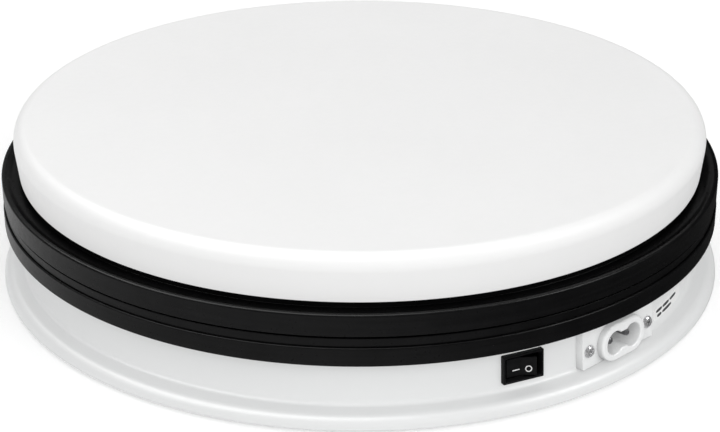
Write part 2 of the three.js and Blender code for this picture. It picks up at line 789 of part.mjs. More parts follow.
function motorGearcase() {
  const bore = MOTOR_SHAFT.radius + SLIDE;
  const shaftFloor = MOTOR_SHAFT.bottom - SLIDE;
  const body = turned(
    outline([
      [0, MOTOR.seam],
      [MOTOR.radius, MOTOR.seam],
      [MOTOR.radius, MOTOR.top],
      [MOTOR_NOSE.radius, MOTOR.top],
      [MOTOR_NOSE.radius, MOTOR_NOSE.top],
      [bore, MOTOR_NOSE.top],
      [bore, shaftFloor],
      [0, shaftFloor],
    ], false),
    MOTOR_ROUND,
  );
  const earBottom = MOTOR.top - EAR.thickness;
  const bar = extruded(
    roundedRectangle(2 * (EAR.reach + EAR.radius), 2 * EAR.radius, EAR.radius - 0.1),
    EAR.thickness,
  ).translate(0, 0, earBottom);
  const core = round(MOTOR.radius - 2, earBottom - 1, MOTOR.top + 1, 0, MOTOR_ROUND);
  const hole = round(EAR.hole, earBottom - 1, MOTOR.top + 1);
  const holes = [-1, 1].map((side) => hole.clone().translate(side * EAR.reach, 0, 0));
  return join(body, cut(bar, core, ...holes));
}

// ---- wires ----

const WIRE = { radius: 1.1, gap: 0.3, floor: 12, intoMotor: 14, run: 8 };
const WIRE_STEPS = { along: 16, round: 4 };

function wire(points) {
  const profile = new THREE.Shape().absarc(0, 0, WIRE.radius, 0, 2 * Math.PI);
  const extrudePath = new THREE.CatmullRomCurve3(points.map((point) => new THREE.Vector3(...point)));
  const options = { steps: WIRE_STEPS.along, curveSegments: WIRE_STEPS.round, bevelEnabled: false, extrudePath };
  return weld(new THREE.ExtrudeGeometry(profile, options));
}

function wallPoint(frame, x, y, z) {
  return new THREE.Vector3(x, y, z).applyMatrix4(frame.matrix).toArray();
}

// ---- assembly ----

function addRing(name, azimuths, circle, z, makeGeometry, material, turnOver = false) {
  azimuths.forEach((azimuth, i) => {
    const mesh = add(`${name}_${i + 1}`, makeGeometry(), material);
    mesh.position.copy(onCircle(circle, azimuth, z));
    mesh.rotation.set(turnOver ? Math.PI : 0, 0, radians(azimuth));
  });
}

function addPlatter() {
  const { shank, length, head, headHeight } = DISC_SCREW;
  add('top_disc', topDisc(), whiteMatt);
  add('platter', platter(), blackSatin);
  addRing('disc_screw', DISC_SCREW_AZIMUTHS, DISC_SCREW_CIRCLE, PLATTER.plateBottom - SLIDE,
    () => panScrew(shank, length, head, headHeight), zincSteel);
  add('driven_gear', drivenGear(), acetal);
  addRing('gear_screw', GEAR_SCREW_AZIMUTHS, GEAR_SCREW_CIRCLE, GEAR.bottom + 0.05,
    () => countersunkScrew(GEAR_SCREW.shank, GEAR_SCREW.length, GEAR_SCREW.head), zincSteel);
  add('hub_bush', hubBush(), bronze);
}

function addSpindle() {
  add('spindle', spindle(), steel);
  add('spindle_nut', spindleNut(), zincSteel);
  const { radius, bottom, top } = THRUST_WASHER;
  add('thrust_washer', washer(radius, bottom, top), acetal);
  const hubTop = HUB.top + SLIDE;
  add('hub_washer', washer(HUB_WASHER.radius, hubTop, hubTop + HUB_WASHER.thickness), steel);
  add('retaining_clip', retainingClip(), steel);
}

function addDeck() {
  const { shank, length, head, headHeight } = DECK_SCREW;
  add('deck', deck(), blackSatin);
  addRing('deck_screw', BOSS_AZIMUTHS, BOSS.circle, DECK.top + SLIDE,
    () => panScrew(shank, length, head, headHeight), zincSteel, true);
  ROLLER_AZIMUTHS.forEach((azimuth, i) => {
    const frame = rollerFrame(azimuth);
    stand.add(frame);
    add(`roller_${i + 1}`, roller(), acetal, frame);
    add(`roller_axle_${i + 1}`, rollerAxle(), steel, frame);
  });
}

function addBase() {
  add('base_shell', baseShell(), whiteGloss);
  add('bottom_plate', bottomPlate(), whiteGloss);
  addRing('plate_screw', BOSS_AZIMUTHS, BOSS.circle, PLATE.bottom + 0.05,
    () => countersunkScrew(PLATE_SCREW.shank, PLATE_SCREW.length, PLATE_SCREW.head), zincSteel);
  addRing('rubber_foot', FOOT_AZIMUTHS, FOOT.circle, 0, rubberFoot, rubber);
}

function addSwitch() {
  const frame = wallFrame(SWITCH.azimuth, SWITCH.z);
  stand.add(frame);
  add('switch_housing', switchHousing(), blackSwitch, frame);
  add('switch_terminal_1', switchTerminal(-1), brass, frame);
  add('switch_terminal_2', switchTerminal(1), brass, frame);
  const rocker = add('switch_rocker', switchRocker(), blackSwitch, frame);
  rocker.position.z = ROCKER.pivotDepth;
  rocker.rotation.y = radians(ROCKER.tilt);
  return frame;
}

function addInlet() {
  const frame = wallFrame(INLET.azimuth, INLET.z);
  const { shank, length, head, headHeight } = INLET_SCREW;
  stand.add(frame);
  add('inlet_housing', inletHousing(), inletWhite, frame);
  [-1, 1].forEach((side, i) => {
    const pin = add(`inlet_pin_${i + 1}`, inletPin(), steel, frame);
    pin.position.x = (side * PIN_PITCH) / 2;
    const screw = add(`inlet_screw_${i + 1}`, panScrew(shank, length, head, headHeight), zincSteel, frame);
    screw.position.set((side * INLET_SCREW_PITCH) / 2, 0, INLET.proud + 0.05);
    screw.rotation.x = Math.PI;
  });
  return frame;
}

function addMotor() {
  const motor = new THREE.Group();
  motor.position.y = MOTOR.distance;
  stand.add(motor);
  add('motor_can', motorCan(), zincSteel, motor);
  add('motor_gearcase', motorGearcase(), zincSteel, motor);
  add('motor_shaft', shaftBar(MOTOR_SHAFT.radius, MOTOR_SHAFT.bottom, MOTOR_SHAFT.top), steel, motor);
  add('drive_pinion', drivePinion(), brass, motor);
  const { shank, length, head, headHeight } = MOTOR_SCREW;
  [-1, 1].forEach((side, i) => {
    const screw = add(`motor_screw_${i + 1}`, panScrew(shank, length, head, headHeight), zincSteel, motor);
    screw.position.set(side * EAR.reach, 0, MOTOR.top - EAR.thickness - SLIDE);
  });
}

// The live wire goes through the switch; the neutral wire goes straight to the motor.
function addWires(switchFrame, inletFrame) {
  const tab = SWITCH_TERMINAL.x;
  const tabEnd = SWITCH_TERMINAL.back - WIRE.gap;
  const pin = PIN_PITCH / 2;
  const pinEnd = INLET_PIN.back - WIRE.gap;
  const motorSide = MOTOR.radius + WIRE.gap + 0.1;
  const intoMotor = (offset) => [
    [motorSide + WIRE.run, MOTOR.distance + offset, WIRE.intoMotor],
    [motorSide, MOTOR.distance + offset, WIRE.intoMotor],
  ];
  add('wire_live', wire([
    wallPoint(inletFrame, -pin, 0, pinEnd),
    wallPoint(inletFrame, -pin - 2, 0, pinEnd - 8),
    wallPoint(switchFrame, tab + 3, 0, tabEnd - 9),
    wallPoint(switchFrame, tab, 0, tabEnd),
  ]), brownWire);
  add('wire_switched', wire([
    wallPoint(switchFrame, -tab, 0, tabEnd),
    wallPoint(switchFrame, -tab - 2, 0, tabEnd - 12),
    [22, -20, WIRE.floor],
    [36, 22, WIRE.floor],
    ...intoMotor(-4),
  ]), brownWire);
  add('wire_neutral', wire([
    wallPoint(inletFrame, pin, 0, pinEnd),
    wallPoint(inletFrame, pin + 4, 0, pinEnd - 14),
    [54, 0, WIRE.floor],
    [48, 40, WIRE.floor],
    ...intoMotor(4),
  ]), blueWire);
}

addPlatter();
addSpindle();
addDeck();
addBase();
const switchFrame = addSwitch();
const inletFrame = addInlet();
const labelFrame = wallFrame(LABEL.azimuth, LABEL.z);
stand.add(labelFrame);
add('rating_label', ratingLabel(), labelWhite, labelFrame);
addMotor();
addWires(switchFrame, inletFrame);

export default stand;
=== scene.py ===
"""A motorised turntable display stand: white disc, black platter and deck, white base."""

import json
import math

import bmesh
import bpy
from mathutils import Matrix, Vector


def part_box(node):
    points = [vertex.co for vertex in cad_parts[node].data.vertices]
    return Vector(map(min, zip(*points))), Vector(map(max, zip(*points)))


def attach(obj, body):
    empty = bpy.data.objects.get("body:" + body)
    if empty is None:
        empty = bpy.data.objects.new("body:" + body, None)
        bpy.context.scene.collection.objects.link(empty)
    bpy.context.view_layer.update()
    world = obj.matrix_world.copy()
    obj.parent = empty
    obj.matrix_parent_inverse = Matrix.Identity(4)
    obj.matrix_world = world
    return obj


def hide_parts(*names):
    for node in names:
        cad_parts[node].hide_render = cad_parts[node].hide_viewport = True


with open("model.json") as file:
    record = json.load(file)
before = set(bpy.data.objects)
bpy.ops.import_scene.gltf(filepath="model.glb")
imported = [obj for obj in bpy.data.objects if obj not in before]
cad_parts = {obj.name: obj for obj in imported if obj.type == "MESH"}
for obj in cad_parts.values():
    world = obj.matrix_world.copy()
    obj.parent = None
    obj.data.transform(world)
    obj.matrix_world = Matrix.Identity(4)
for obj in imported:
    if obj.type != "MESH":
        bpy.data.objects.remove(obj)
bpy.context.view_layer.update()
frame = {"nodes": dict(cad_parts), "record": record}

MM = 0.001
SEGMENTS = 384  # round the large rings
SMALL_SEGMENTS = 48  # round screws, pins and feet
FILLET_STEPS = 6
SMOOTH_ANGLE = 32.0  # edges sharper than this stay hard, in degrees


# ---------------------------------------------------------------- sizes, from the frame, in mm


def mm_box(node):
    low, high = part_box(node)
    return low / MM, high / MM


def radius_of(node):
    low, high = mm_box(node)
    return (high.x - low.x) / 2


def heights_of(node):
    low, high = mm_box(node)
    return low.z, high.z


DISC_RADIUS = radius_of("top_disc")
DISC_FOOT, DISC_TOP = heights_of("top_disc")
PLATTER_RADIUS = radius_of("platter")
SKIRT_BOTTOM, HUB_TOP = heights_of("platter")
DECK_RADIUS = radius_of("deck")
DECK_SKIRT_BOTTOM, DUST_LIP_TOP = heights_of("deck")
BASE_RADIUS = radius_of("base_shell")
BASE_FOOT, BASE_TOP = heights_of("base_shell")
PLATE_RADIUS = radius_of("bottom_plate")
PLATE_BOTTOM, PLATE_TOP = heights_of("bottom_plate")
MOTOR_DISTANCE = (mm_box("motor_can")[0].y + mm_box("motor_can")[1].y) / 2

DISC_EDGE = 5.0
DISC_WALL = 3.0
DISC_FOOT_RADIUS = DISC_RADIUS - 1.3
LIP_HEIGHT = 41.4
PLATTER_TOP = DISC_FOOT - 0.2
PLATTER_UNDERSIDE = 38.9
HUB_RADIUS = 10.5
HUB_BORE = 6.1
DECK_TOP = 33.2
DECK_UNDERSIDE = 30.7
COLLAR_TOP = 33.15
STEP_HEIGHT = 30.1
SPINDLE_BORE = 3.1
SKIRT_WALL = 2.8  # of the platter and the deck
DUST_LIP_RADIUS = 126.0
DUST_LIP_WALL = 1.6
FLANGE_TOP = 5.75
FLANGE_EDGE = 3.9
WALL_SLOPE = 0.0726
WALL_FOOT_RADIUS = 123.3
WALL_FOOT_HEIGHT = 5.9
WALL_THICKNESS = 2.5

SWITCH_PLACE = (24.75, 13.35)  # azimuth from -Y towards +X, in degrees, and height
INLET_PLACE = (43.0, 12.6)
LABEL_PLACE = (59.3, 10.1)
LABEL_SIZE = (23.0, 4.6, 0.2)
ROCKER_TILT = -12.0
ROCKER_PIVOT_DEPTH = -1.8
BOSS_AZIMUTHS = (-15, 75, 165, 255)
BOSS_CIRCLE = 113
FOOT_AZIMUTHS = (30, 120, 210, 300)
FOOT_CIRCLE = 112
ROLLER_CIRCLE = 100
MOTOR_HOLE_RADIUS = 8.2


# ---------------------------------------------------------------- outlines


def rounded(corners, steps=FILLET_STEPS):
    """The points of an outline through corners (x, y) or (x, y, fillet radius)."""
    points = []
    for i, corner in enumerate(corners):
        here = Vector(corner[:2])
        if len(corner) < 3:
            points.append(here)
            continue
        before = Vector(corners[i - 1][:2]) - here
        after = Vector(corners[(i + 1) % len(corners)][:2]) - here
        before.normalize()
        after.normalize()
        half = before.angle(after) / 2
        centre = here + (before + after).normalized() * (corner[2] / math.sin(half))
        start = here + before * (corner[2] / math.tan(half)) - centre
        end = here + after * (corner[2] / math.tan(half)) - centre
        sweep = start.angle_signed(end)
        for k in range(steps + 1):
            turn = Matrix.Rotation(-sweep * k / steps, 2)
            points.append(centre + turn @ start)
    return points


def rectangle(width, height, radius, z, centre_y=0.0, steps=5):
    """A ring of points round a rectangle with rounded corners, at one height."""
    w = width / 2
    h = height / 2
    corners = [(-w, -h, radius), (w, -h, radius), (w, h, radius), (-w, h, radius)]
    return [Vector((p.x, p.y + centre_y, z)) for p in rounded(corners, steps=steps)]


def figure_eight(lobe, waist, pitch, z, steps=20):
    """A ring of points round two lobes joined by a waist, at one height."""
    meet = math.asin(min(1.0, waist / lobe))
    ring = []
    for side in (1, -1):
        first = math.pi - meet
        for k in range(steps + 1):
            angle = -first + 2 * first * k / steps
            point = Vector((pitch / 2 + lobe * math.cos(angle), lobe * math.sin(angle), z))
            ring.append(Vector((side * point.x, side * point.y, z)))
    return ring


# ---------------------------------------------------------------- mesh building


def finish_mesh(name, bm):
    """Turns a bmesh into an object with smooth fillets and flat faces that stay flat."""
    bmesh.ops.recalc_face_normals(bm, faces=bm.faces)
    mesh = bpy.data.meshes.new(name)
    bm.to_mesh(mesh)
    bm.free()
    obj = bpy.data.objects.new(name, mesh)
    bpy.context.scene.collection.objects.link(obj)
    shade(obj)
    return obj


def shade(obj):
    mesh = obj.data
    mesh.polygons.foreach_set("use_smooth", [True] * len(mesh.polygons))
    mesh.set_sharp_from_angle(angle=math.radians(SMOOTH_ANGLE))
    weighted = obj.modifiers.new("weighted", "WEIGHTED_NORMAL")
    weighted.keep_sharp = True
    weighted.weight = 100


def bridge(bm, lower, upper):
    """Faces between two rings; a ring of one point is a pole."""
    count = max(len(lower), len(upper))
    for i in range(count):
        j = (i + 1) % count
        if len(lower) == 1:
            bm.faces.new((lower[0], upper[i], upper[j]))
        elif len(upper) == 1:
            bm.faces.new((lower[i], lower[j], upper[0]))
        else:
            bm.faces.new((lower[i], lower[j], upper[j], upper[i]))


def revolve(name, outline, closed=True, segments=SEGMENTS):
    """A body of revolution about Z from (radius, height) points in mm."""
    bm = bmesh.new()
    rings = []
    for radius, height in outline:
        if radius < 1e-6:
            rings.append([bm.verts.new((0, 0, height * MM))])
            continue
        ring = []
        for i in range(segments):
            angle = 2 * math.pi * i / segments
            place = (radius * math.cos(angle), radius * math.sin(angle), height)
            ring.append(bm.verts.new(Vector(place) * MM))
        rings.append(ring)
    for lower, upper in zip(rings, rings[1:]):
        bridge(bm, lower, upper)
    if closed:
        bridge(bm, rings[-1], rings[0])
    return finish_mesh(name, bm)


def loft(name, rings, matrix=None):
    """A closed body through rings of points in mm, capped at both ends."""
    bm = bmesh.new()
    made = [[bm.verts.new(point * MM) for point in ring] for ring in rings]
    for lower, upper in zip(made, made[1:]):
        bridge(bm, lower, upper)
    bm.faces.new(made[0])
    bm.faces.new(made[-1])
    obj = finish_mesh(name, bm)
    if matrix is not None:
        obj.data.transform(matrix)
    return obj


def prism(name, outline, low, high, matrix=None):
    """A closed body with one outline from a low to a high height."""
    rings = [[Vector((p[0], p[1], z)) for p in outline] for z in (low, high)]
    return loft(name, rings, matrix)


def block(name, size, centre, matrix=None):
    w, d, h = (s / 2 for s in size)
    outline = [(-w, -d), (w, -d), (w, d), (-w, d)]
    local = Matrix.Translation(Vector(centre) * MM)
    return prism(name, outline, -h, h, matrix @ local if matrix is not None else local)


def boolean(obj, tool, operation):
    modifier = obj.modifiers.new("boolean", "BOOLEAN")
    modifier.operation = operation
    modifier.solver = "EXACT"
    modifier.object = tool
    for other in [m for m in obj.modifiers if m != modifier]:
        obj.modifiers.remove(other)
    graph = bpy.context.evaluated_depsgraph_get()
    result = bpy.data.meshes.new_from_object(obj.evaluated_get(graph))
    obj.modifiers.clear()
    obj.data = result
    bpy.data.objects.remove(tool)
    shade(obj)
    return obj


def cut(obj, *tools):
    for tool in tools:
        boolean(obj, tool, "DIFFERENCE")
    return obj


def soften(obj, width_mm, segments):
    """Rounds the hard edges of a small piece."""
    bevel = obj.modifiers.new("edges", "BEVEL")
    bevel.width = width_mm * MM
    bevel.segments = segments
    bevel.limit_method = "ANGLE"
    bevel.angle_limit = math.radians(35)
    bevel.harden_normals = True
    while obj.modifiers[0] != bevel:
        obj.modifiers.move(len(obj.modifiers) - 1, 0)
    return obj


# ---------------------------------------------------------------- places


def on_circle(radius, azimuth, height=0.0):
    angle = math.radians(azimuth)
    return Vector((radius * math.sin(angle), -radius * math.cos(angle), height)) * MM


def around(radius, azimuth, height=0.0):
    turn = Matrix.Rotation(math.radians(azimuth), 4, "Z")
    return Matrix.Translation(on_circle(radius, azimuth, height)) @ turn


def wall_radius(height):
    return WALL_FOOT_RADIUS - (height - WALL_FOOT_HEIGHT) * WALL_SLOPE


def wall_frame(azimuth, height):
    """X along the base's wall, Y up it and Z straight out of it."""
    tilt = Matrix.Rotation(math.pi / 2 - math.atan(WALL_SLOPE), 4, "X")
    return around(wall_radius(height), azimuth, height) @ tilt


def place(obj, body, material, slot, *nodes):
    obj.data.materials.clear()
    obj.data.materials.append(material)
    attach(obj, body)
    if nodes:
        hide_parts(*nodes)
    return obj


# ---------------------------------------------------------------- materials


class Nodes:
    """A small helper that adds and links shader nodes."""

    def __init__(self, name):
        self.material = bpy.data.materials.new(name)
        self.material.use_nodes = True
        self.tree = self.material.node_tree
        self.bsdf = self.tree.nodes["Principled BSDF"]
        self.position = self.add("ShaderNodeTexCoord").outputs["Object"]

    def add(self, kind, **settings):
        node = self.tree.nodes.new(kind)
        for key, value in settings.items():
            if key in node.inputs:
                node.inputs[key].default_value = value
            else:
                setattr(node, key, value)
        return node

    def link(self, source, target):
        self.tree.links.new(source, target)

    def value(self, name, amount):
        self.bsdf.inputs[name].default_value = amount

    def noise(self, size_mm, detail=3.0, roughness=0.5, stretch=None):
        """Noise whose features are about size_mm across."""
        node = self.add("ShaderNodeTexNoise", Detail=detail, Roughness=roughness)
        node.inputs["Scale"].default_value = 1 / (size_mm * MM)
        source = self.position
        if stretch is not None:
            mapping = self.add("ShaderNodeMapping")
            mapping.inputs["Scale"].default_value = stretch
            self.link(source, mapping.inputs["Vector"])
            source = mapping.outputs["Vector"]
        self.link(source, node.inputs["Vector"])
        return node.outputs["Fac"]

    def rings(self, size_mm, length_mm):
        """Noise drawn out round the Z axis, like flow lines or turning marks."""
        split = self.add("ShaderNodeSeparateXYZ")
        self.link(self.position, split.inputs[0])
        angle = self.math("ARCTAN2", split.outputs["Y"], split.outputs["X"])
        squares = [self.math("MULTIPLY", split.outputs[a], split.outputs[a]) for a in "XY"]
        radius = self.math("SQRT", self.math("ADD", *squares))
        arc = self.math("MULTIPLY", angle, 0.12 / (length_mm * MM))
        across = self.math("DIVIDE", radius, size_mm * MM)
        up = self.math("DIVIDE", split.outputs["Z"], size_mm * MM)
        combine = self.add("ShaderNodeCombineXYZ")
        for source, target in zip((arc, across, up), combine.inputs):
            self.link(source, target)
        node = self.add("ShaderNodeTexNoise", Scale=1.0, Detail=2.0)
        self.link(combine.outputs[0], node.inputs["Vector"])
        return node.outputs["Fac"]

    def math(self, operation, *operands):
        node = self.add("ShaderNodeMath", operation=operation)
        for operand, target in zip(operands, node.inputs):
            if isinstance(operand, (int, float)):
                target.default_value = operand
            else:
                self.link(operand, target)
        return node.outputs[0]

    def spread(self, source, low, high, source_low=0.3, source_high=0.7):
        node = self.add("ShaderNodeMapRange")
        for name, amount in zip(
            ("From Min", "From Max", "To Min", "To Max"), (source_low, source_high, low, high)
        ):
            node.inputs[name].default_value = amount
        self.link(source, node.inputs["Value"])
        return node.outputs["Result"]

    def mix(self, factor, first, second):
        node = self.add("ShaderNodeMix", data_type="RGBA")
        self.link(factor, node.inputs["Factor"])
        for colour, target in ((first, node.inputs["A"]), (second, node.inputs["B"])):
            if isinstance(colour, tuple):
                target.default_value = (*colour, 1.0)
            else:
                self.link(colour, target)
        return node.outputs["Result"]

    def bump(self, source, height_mm, strength=1.0, under=None):
        node = self.add("ShaderNodeBump", Strength=strength)
        node.inputs["Distance"].default_value = height_mm * MM
        self.link(source, node.inputs["Height"])
        if under is not None:
            self.link(under, node.inputs["Normal"])
        return node.outputs["Normal"]


def shade_of(colour, factor):
    return tuple(min(1.0, c * factor) for c in colour)


def moulded_plastic(
    name, colour, roughness, *, grain=0.35, relief=0.01, tint=0.03, painted_glow=0.0, painted_shade_depth=0.0
):
    """Moulded plastic: fine spark-eroded grain, slow colour drift and uneven gloss, with an optional
    painted glow and painted shade in recesses.
    """
    n = Nodes(name)
    drift = n.noise(70, detail=2.0)
    mottle = n.noise(6, detail=4.0)
    base = n.mix(n.spread(drift, 0.0, 1.0), shade_of(colour, 1 - tint), shade_of(colour, 1 + tint))
    base = n.mix(n.spread(mottle, 0.0, 0.35), base, shade_of(colour, 1 - tint))
    gloss = n.spread(n.noise(2.5, detail=5.0), roughness * 0.9, roughness * 1.12)
    light = 1.0
    if painted_shade_depth:  # painted shade: recesses as deep as this many mm go darker in colour and glow
        corner = n.add("ShaderNodeAmbientOcclusion", samples=6, Distance=painted_shade_depth * MM)
        light = n.spread(corner.outputs["AO"], 0.35, 1.0, 0.2, 0.8)
        base = n.mix(light, shade_of(colour, 0.45), base)
    n.link(base, n.bsdf.inputs["Base Color"])
    n.link(gloss, n.bsdf.inputs["Roughness"])
    n.value("Specular IOR Level", 0.5)
    if painted_glow:  # painted glow: emission that lifts the plastic's light evenly for every ray but glossy ones
        n.link(base, n.bsdf.inputs["Emission Color"])
        path = n.add("ShaderNodeLightPath")
        seen = n.spread(path.outputs["Is Glossy Ray"], painted_glow / colour[0], 0.0, 0.0, 1.0)
        n.link(n.math("MULTIPLY", seen, light), n.bsdf.inputs["Emission Strength"])
    fine = n.bump(n.noise(grain, detail=2.0), relief, 0.7)
    waves = n.bump(n.rings(3.0, 60.0), relief * 0.6, 0.4, under=fine)
    n.link(waves, n.bsdf.inputs["Normal"])
    return n.material


def metal(name, colour, roughness, *, lines=0.12, specks=0.0, metallic=1.0):
    """Machined or plated metal: turning marks, dull patches and, if plated, a fine crystal speckle."""
    n = Nodes(name)
    tone = n.spread(n.noise(3.0, detail=4.0), 0.0, 1.0)
    base = n.mix(tone, shade_of(colour, 0.86), shade_of(colour, 1.1))
    if specks:
        crystal = n.add("ShaderNodeTexVoronoi", Scale=1 / (0.6 * MM))
        n.link(n.position, crystal.inputs["Vector"])
        patch = n.spread(crystal.outputs["Distance"], 0.0, specks, 0.0, 1.0)
        base = n.mix(patch, base, shade_of(colour, 1.3))
    n.link(base, n.bsdf.inputs["Base Color"])
    n.value("Metallic", metallic)
    gloss = n.spread(n.noise(0.9, detail=4.0), roughness * 0.75, roughness * 1.35)
    n.link(gloss, n.bsdf.inputs["Roughness"])
    marks = n.bump(n.rings(lines, 25.0), 0.004, 0.6)
    n.link(marks, n.bsdf.inputs["Normal"])
    return n.material


def soft_rubber(name, colour):
    n = Nodes(name)
    dust = n.spread(n.noise(1.5, detail=6.0), 0.0, 0.6, 0.45, 0.75)
    base = n.mix(dust, colour, shade_of(colour, 2.6))
    n.link(base, n.bsdf.inputs["Base Color"])
    n.link(n.spread(n.noise(0.8), 0.75, 0.95), n.bsdf.inputs["Roughness"])
    n.link(n.bump(n.noise(0.25, detail=3.0), 0.02, 0.8), n.bsdf.inputs["Normal"])
    return n.material


def printed_ink(name, colour):
    """Pad-printed ink: slightly uneven cover over the plastic below."""
    n = Nodes(name)
    cover = n.spread(n.noise(0.25, detail=4.0), 0.0, 1.0)
    n.link(n.mix(cover, shade_of(colour, 0.85), colour), n.bsdf.inputs["Base Color"])
    n.link(n.spread(n.noise(0.4), 0.4, 0.6), n.bsdf.inputs["Roughness"])
    n.link(n.bump(n.noise(0.15), 0.004), n.bsdf.inputs["Normal"])
    return n.material


def satin_black(name, colour, roughness, level, grain=0.35, relief=0.008):
    """Black plastic with a satin face: faint flow lines, dust in the gloss and painted shade that
    darkens colour and reflection in recesses.
    """
    n = Nodes(name)
    # painted shade: colour and reflection go darker in recesses up to 5 mm deep
    corner = n.add("ShaderNodeAmbientOcclusion", samples=4, Distance=5 * MM)
    painted_recess_shade = n.spread(corner.outputs["AO"], 0.12, 1.0, 0.25, 0.85)
    streaks = n.rings(1.2, 45.0)
    tone = n.spread(streaks, 0.8, 1.25)
    patches = n.spread(n.noise(9.0, detail=4.0), 0.85, 1.2)
    amount = n.math("MULTIPLY", n.math("MULTIPLY", tone, patches), painted_recess_shade)
    scale = n.add("ShaderNodeVectorMath", operation="SCALE")
    scale.inputs[0].default_value = colour
    n.link(amount, scale.inputs["Scale"])
    n.link(scale.outputs[0], n.bsdf.inputs["Base Color"])
    n.link(n.math("MULTIPLY", painted_recess_shade, level), n.bsdf.inputs["Specular IOR Level"])
    gloss = n.spread(n.noise(1.5, detail=5.0), roughness * 0.88, roughness * 1.14)
    n.link(gloss, n.bsdf.inputs["Roughness"])
    fine = n.bump(n.noise(grain, detail=2.0), relief, 0.7)
    waves = n.bump(n.rings(2.0, 80.0), relief, 0.5, under=fine)
    n.link(waves, n.bsdf.inputs["Normal"])
    return n.material


def pale_floor(name):
    """A white sweep whose look in reflections is painted: glossy rays see it darker than the camera
    does, most of all at the right, and see a painted sheen towards the left.
    """
    n = Nodes(name)
    drift = n.spread(n.noise(400, detail=2.0), 0.0, 1.0)
    white = n.mix(drift, (0.95, 0.95, 0.95), (0.96, 0.96, 0.96))
    split = n.add("ShaderNodeSeparateXYZ")
    n.link(n.position, split.inputs[0])
    side = n.spread(split.outputs["X"], 0.0, 1.0, -0.01, 0.11)
    # painted reflection: glossy rays see the floor grey at the left and nearly black at the right
    painted_reflection = n.mix(side, (0.66, 0.66, 0.66), (0.05, 0.05, 0.05))
    path = n.add("ShaderNodeLightPath")
    bounced = n.mix(path.outputs["Is Diffuse Ray"], white, (0.5, 0.5, 0.5))
    n.link(n.mix(path.outputs["Is Glossy Ray"], bounced, painted_reflection), n.bsdf.inputs["Base Color"])
    n.value("Emission Color", (1.0, 1.0, 1.0, 1.0))
    # painted sheen: the floor glows for glossy rays alone towards the left
    sheen_mask_left = n.spread(split.outputs["X"], 0.12, 0.0, -0.2, -0.06)
    seen = n.math("MULTIPLY", path.outputs["Is Camera Ray"], 0.14)
    painted_sheen = n.math("MULTIPLY", path.outputs["Is Glossy Ray"], sheen_mask_left)
    n.link(n.math("ADD", seen, painted_sheen), n.bsdf.inputs["Emission Strength"])
    n.value("Roughness", 0.9)
    n.value("Specular IOR Level", 0.0)
    return n.material


# The white plastics' glow amounts are painted glow: emission that evens out their light.
MATERIALS = {
    "disc_white": moulded_plastic(
        "disc_white", (0.42, 0.42, 0.419), 0.5, grain=0.3, relief=0.012, tint=0.01, painted_glow=0.4
    ),
    "base_white": moulded_plastic(
        "base_white", (0.42, 0.424, 0.424), 0.36, grain=0.6, relief=0.006, tint=0.012, painted_glow=0.31
    ),
    "black_satin": satin_black("black_satin", (0.004, 0.004, 0.0042), 0.3, 0.14),
    "switch_black": satin_black("switch_black", (0.005, 0.005, 0.0055), 0.38, 0.2, grain=0.2),
    "inlet_white": moulded_plastic(
        "inlet_white",
        (0.6, 0.605, 0.605),
        0.3,
        grain=0.4,
        relief=0.004,
        tint=0.01,
        painted_glow=0.2,
        # painted shade darkens the inlet's cavity and corners
        painted_shade_depth=7.0,
    ),
    "label_white": moulded_plastic(
        "label_white", (0.5, 0.5, 0.497), 0.42, grain=0.5, relief=0.002, tint=0.01, painted_glow=0.3
    ),
    "acetal": moulded_plastic(
        "acetal", (0.78, 0.75, 0.66), 0.35, grain=0.5, relief=0.004, tint=0.02
    ),
    "wire_brown": moulded_plastic("wire_brown", (0.14, 0.05, 0.02), 0.4, tint=0.08),
    "wire_blue": moulded_plastic("wire_blue", (0.03, 0.12, 0.4), 0.4, tint=0.08),
    "rubber": soft_rubber("rubber", (0.02, 0.02, 0.02)),
    "steel": metal("steel", (0.62, 0.63, 0.65), 0.25),
    "zinc_steel": metal("zinc_steel", (0.72, 0.72, 0.73), 0.3, specks=0.5, metallic=0.75),
    "brass": metal("brass", (0.65, 0.45, 0.16), 0.28),
    "bronze": metal("bronze", (0.45, 0.25, 0.1), 0.42),
}
INK = printed_ink("switch_ink", (0.75, 0.75, 0.75))
LABEL_INK = printed_ink("label_ink", (0.05, 0.05, 0.055))
PIN_METAL = metal("pin_metal", (0.25, 0.25, 0.26), 0.3, specks=0.8, metallic=0.8)


# ---------------------------------------------------------------- disc, platter, deck


def top_disc():
    outline = rounded(
        [
            (0, DISC_TOP),
            (DISC_RADIUS + 0.42, DISC_TOP, DISC_EDGE),
            (DISC_FOOT_RADIUS, DISC_FOOT, 0.4),
            (DISC_FOOT_RADIUS - DISC_WALL, DISC_FOOT, 0.4),
            (DISC_RADIUS - DISC_WALL, DISC_TOP - DISC_WALL, 2.0),
            (0, DISC_TOP - DISC_WALL),
        ],
        steps=10,
    )
    disc = revolve("top_disc_shell", outline, closed=False)
    return place(disc, "platter", MATERIALS["disc_white"], "disc_white", "top_disc")


def platter():
    skirt = PLATTER_RADIUS - SKIRT_WALL
    outline = rounded(
        [
            (HUB_BORE, PLATTER_UNDERSIDE),
            (skirt, PLATTER_UNDERSIDE, 0.6),
            (skirt, SKIRT_BOTTOM, 0.4),
            (PLATTER_RADIUS, SKIRT_BOTTOM, 0.3),
            (PLATTER_RADIUS, LIP_HEIGHT, 0.8),
            (PLATTER_RADIUS - 1.5, LIP_HEIGHT, 0.5),
            (PLATTER_RADIUS - 3.3, LIP_HEIGHT - 1.05, 3.0),
            (DISC_FOOT_RADIUS - 1.2, LIP_HEIGHT - 1.2, 0.3),
            (DISC_FOOT_RADIUS - 1.3, PLATTER_TOP, 0.2),
            (HUB_RADIUS, PLATTER_TOP, 0.8),
            (HUB_RADIUS, HUB_TOP, 0.5),
            (HUB_BORE, HUB_TOP),
        ]
    )
    rim = revolve("platter_shell", outline)
    return place(rim, "platter", MATERIALS["black_satin"], "black_satin", "platter")


